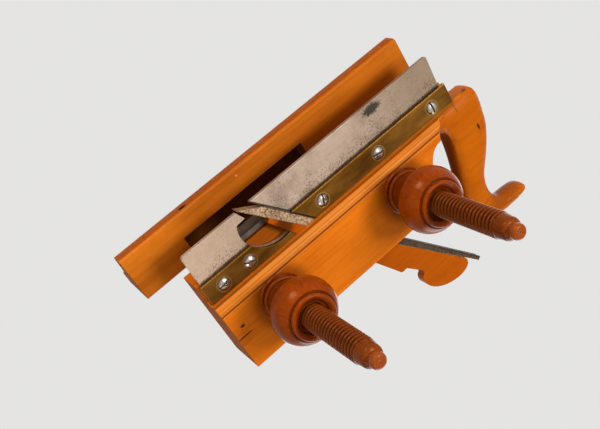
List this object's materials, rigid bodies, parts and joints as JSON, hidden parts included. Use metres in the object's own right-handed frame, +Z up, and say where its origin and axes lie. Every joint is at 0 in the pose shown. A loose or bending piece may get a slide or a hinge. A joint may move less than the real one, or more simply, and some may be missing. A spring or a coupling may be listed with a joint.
{
  "type": "plough plane",
  "caption": "Screw-arm plough plane: wooden stock with an open tote, brass-plated steel skate, wedged iron, sliding fence on threaded arms with turned nuts, and a screw depth stop.",
  "frame": {"origin": "on the bottom edge of the skate, half way along it and in the middle of its thickness", "axes": "+X from heel to toe along the skate, +Y from the skate to the fence, +Z up"},
  "size_m": [0.2861, 0.2163, 0.1775],
  "materials": {
    "boxwood": "satin",
    "turned_wood": "satin",
    "steel": "worn",
    "brass": "worn",
    "screws": "worn"
  },
  "bodies": {
    "stock": {"stock": "boxwood", "front_skate": "steel", "rear_skate": "steel", "front_plate": "brass", "rear_plate": "brass", "plate_screw_1": "screws", "plate_screw_2": "screws", "plate_screw_3": "screws", "plate_screw_4": "screws", "plate_screw_5": "screws", "stop_plate": "brass", "stop_plate_screw_1": "screws", "stop_plate_screw_2": "screws"},
    "iron": {"iron": "steel"},
    "wedge": {"wedge": "boxwood"},
    "fence": {"fence": "boxwood", "front_arm": "turned_wood", "rear_arm": "turned_wood", "front_arm_screw": "screws", "rear_arm_screw": "screws"},
    "front_outer_nut": {"front_outer_nut": "turned_wood"},
    "rear_outer_nut": {"rear_outer_nut": "turned_wood"},
    "front_inner_nut": {"front_inner_nut": "turned_wood"},
    "rear_inner_nut": {"rear_inner_nut": "turned_wood"},
    "stop_screw": {"stop_thumbscrew": "brass"},
    "depth_stop": {"stop_stem": "steel", "stop_shoe": "steel"}
  },
  "joints": [
    {"name": "front_outer_nut_turn", "type": "hinge", "parent": "stock", "child": "front_outer_nut", "pos_m": [0.0749, -0.04, 0.0654], "axis": [0, -1, 0], "range_deg": [-2001, 4501]},
    {"name": "rear_outer_nut_turn", "type": "hinge", "parent": "stock", "child": "rear_outer_nut", "pos_m": [-0.0427, -0.04, 0.0654], "axis": [0, -1, 0], "range_deg": [-2001, 4501]},
    {"name": "front_inner_nut_turn", "type": "hinge", "parent": "stock", "child": "front_inner_nut", "pos_m": [0.0749, 0.028, 0.0654], "axis": [0, -1, 0], "range_deg": [-2001, 4501]},
    {"name": "rear_inner_nut_turn", "type": "hinge", "parent": "stock", "child": "rear_inner_nut", "pos_m": [-0.0427, 0.028, 0.0654], "axis": [0, -1, 0], "range_deg": [-2001, 4501]},
    {"name": "fence_slide", "type": "slide", "parent": "stock", "child": "fence", "axis": [0, 1, 0], "range_m": [-0.02, 0.045]},
    {"name": "iron_slide", "type": "slide", "parent": "stock", "child": "iron", "axis": [-0.6198, 0, 0.7848], "range_m": [-0.0012, 0.03]},
    {"name": "wedge_slide", "type": "slide", "parent": "iron", "child": "wedge", "axis": [-0.6347, 0, 0.7727], "range_m": [0, 0.02]},
    {"name": "stop_screw_turn", "type": "hinge", "parent": "stock", "child": "stop_screw", "pos_m": [0.0443, 0.013, 0.1], "axis": [0, 0, -1], "range_deg": [-2701, 271]},
    {"name": "stop_slide", "type": "slide", "parent": "stock", "child": "depth_stop", "axis": [0, 0, 1], "range_m": [-0.012, 0.0012]}
  ],
  "couplings": [
    {"joint": "front_outer_nut_turn", "follows": "fence_slide", "rad_per_m": 1745.3},
    {"joint": "rear_outer_nut_turn", "follows": "fence_slide", "rad_per_m": 1745.3},
    {"joint": "front_inner_nut_turn", "follows": "fence_slide", "rad_per_m": 1745.3},
    {"joint": "rear_inner_nut_turn", "follows": "fence_slide", "rad_per_m": 1745.3},
    {"joint": "stop_screw_turn", "follows": "stop_slide", "rad_per_m": 3927}
  ]
}
